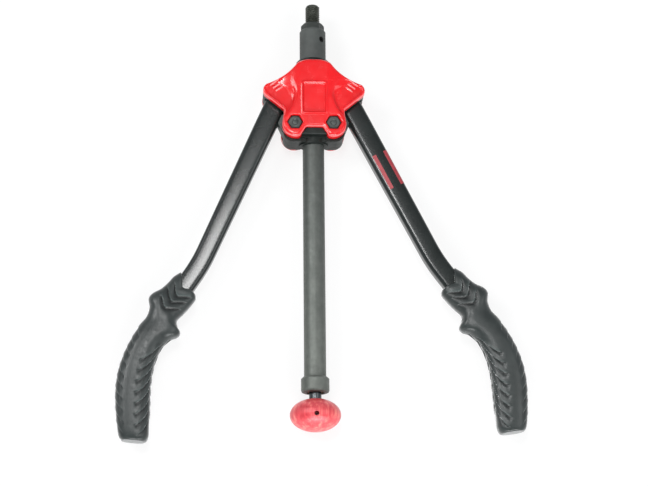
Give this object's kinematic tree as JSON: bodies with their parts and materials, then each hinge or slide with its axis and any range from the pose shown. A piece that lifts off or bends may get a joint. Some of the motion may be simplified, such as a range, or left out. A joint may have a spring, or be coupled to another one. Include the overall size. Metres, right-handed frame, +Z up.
{
  "type": "rivet nut tool",
  "caption": "Long-arm hand tool for setting rivet nuts: squeezing the arms drives the nose sleeve out over a threaded mandrel, which a knob on the rear tube screws in and out.",
  "frame": {"origin": "middle of the nosepiece's front face, on the mandrel's axis, with the arms as drawn", "axes": "+Y along the mandrel, out of the nose; +X towards the right arm; +Z up from the table that the tool lies on"},
  "size_m": [0.3339, 0.3749, 0.0414],
  "materials": {
    "cast_frame": "black oxide, fine cast texture",
    "cover_paint": "glossy red paint",
    "dark_steel": "matt black oxide",
    "bolt_steel": "blackened steel",
    "bare_steel": "machined steel",
    "bronze": "sintered bronze, dull",
    "arm_paint": "gloss black paint",
    "grip_rubber": "dark grey moulded rubber",
    "knob_plastic": "pearly red plastic"
  },
  "bodies": {
    "head": {"center_frame": "cast_frame", "front_cover": "cover_paint", "rear_cover": "cover_paint", "pivot_bolts": "bolt_steel", "pivot_nuts": "bolt_steel", "pivot_washers": "bronze", "rear_tube": "dark_steel", "thrust_washer": "bronze", "tube_circlip": "bare_steel", "end_ring": "dark_steel", "rear_bush": "bronze"},
    "left_arm": {"left_sector": "bolt_steel", "left_bush": "bronze", "left_arm_tube": "arm_paint", "left_grip": "grip_rubber"},
    "right_arm": {"right_sector": "bolt_steel", "right_bush": "bronze", "right_arm_tube": "arm_paint", "right_grip": "grip_rubber"},
    "nose": {"rack_sleeve": "bare_steel", "nose_sleeve": "dark_steel", "nosepiece": "dark_steel", "lock_screw": "bolt_steel"},
    "spindle_unit": {"mandrel": "dark_steel", "mandrel_coupler": "bare_steel", "spindle": "bare_steel", "thrust_collar": "bare_steel", "knob": "knob_plastic", "knob_pin": "bare_steel"}
  },
  "joints": [
    {"name": "left_arm_pivot", "type": "hinge", "parent": "head", "child": "left_arm", "pos_m": [-0.016, -0.094, 0], "axis": [0, 0, 1], "range_deg": [-25, 25]},
    {"name": "right_arm_pivot", "type": "hinge", "parent": "head", "child": "right_arm", "pos_m": [0.016, -0.094, 0], "axis": [0, 0, 1], "range_deg": [-25, 25]},
    {"name": "nose_slide", "type": "slide", "parent": "head", "child": "nose", "axis": [0, 1, 0], "range_m": [-0.00395, 0.00395]},
    {"name": "knob_turn", "type": "hinge", "parent": "head", "child": "spindle_unit", "pos_m": [0, -0.2, 0], "axis": [0, 1, 0], "continuous": true}
  ],
  "couplings": [
    {"joint": "right_arm_pivot", "follows": "left_arm_pivot", "ratio": -1},
    {"joint": "nose_slide", "follows": "left_arm_pivot", "m_per_rad": 0.009}
  ]
}
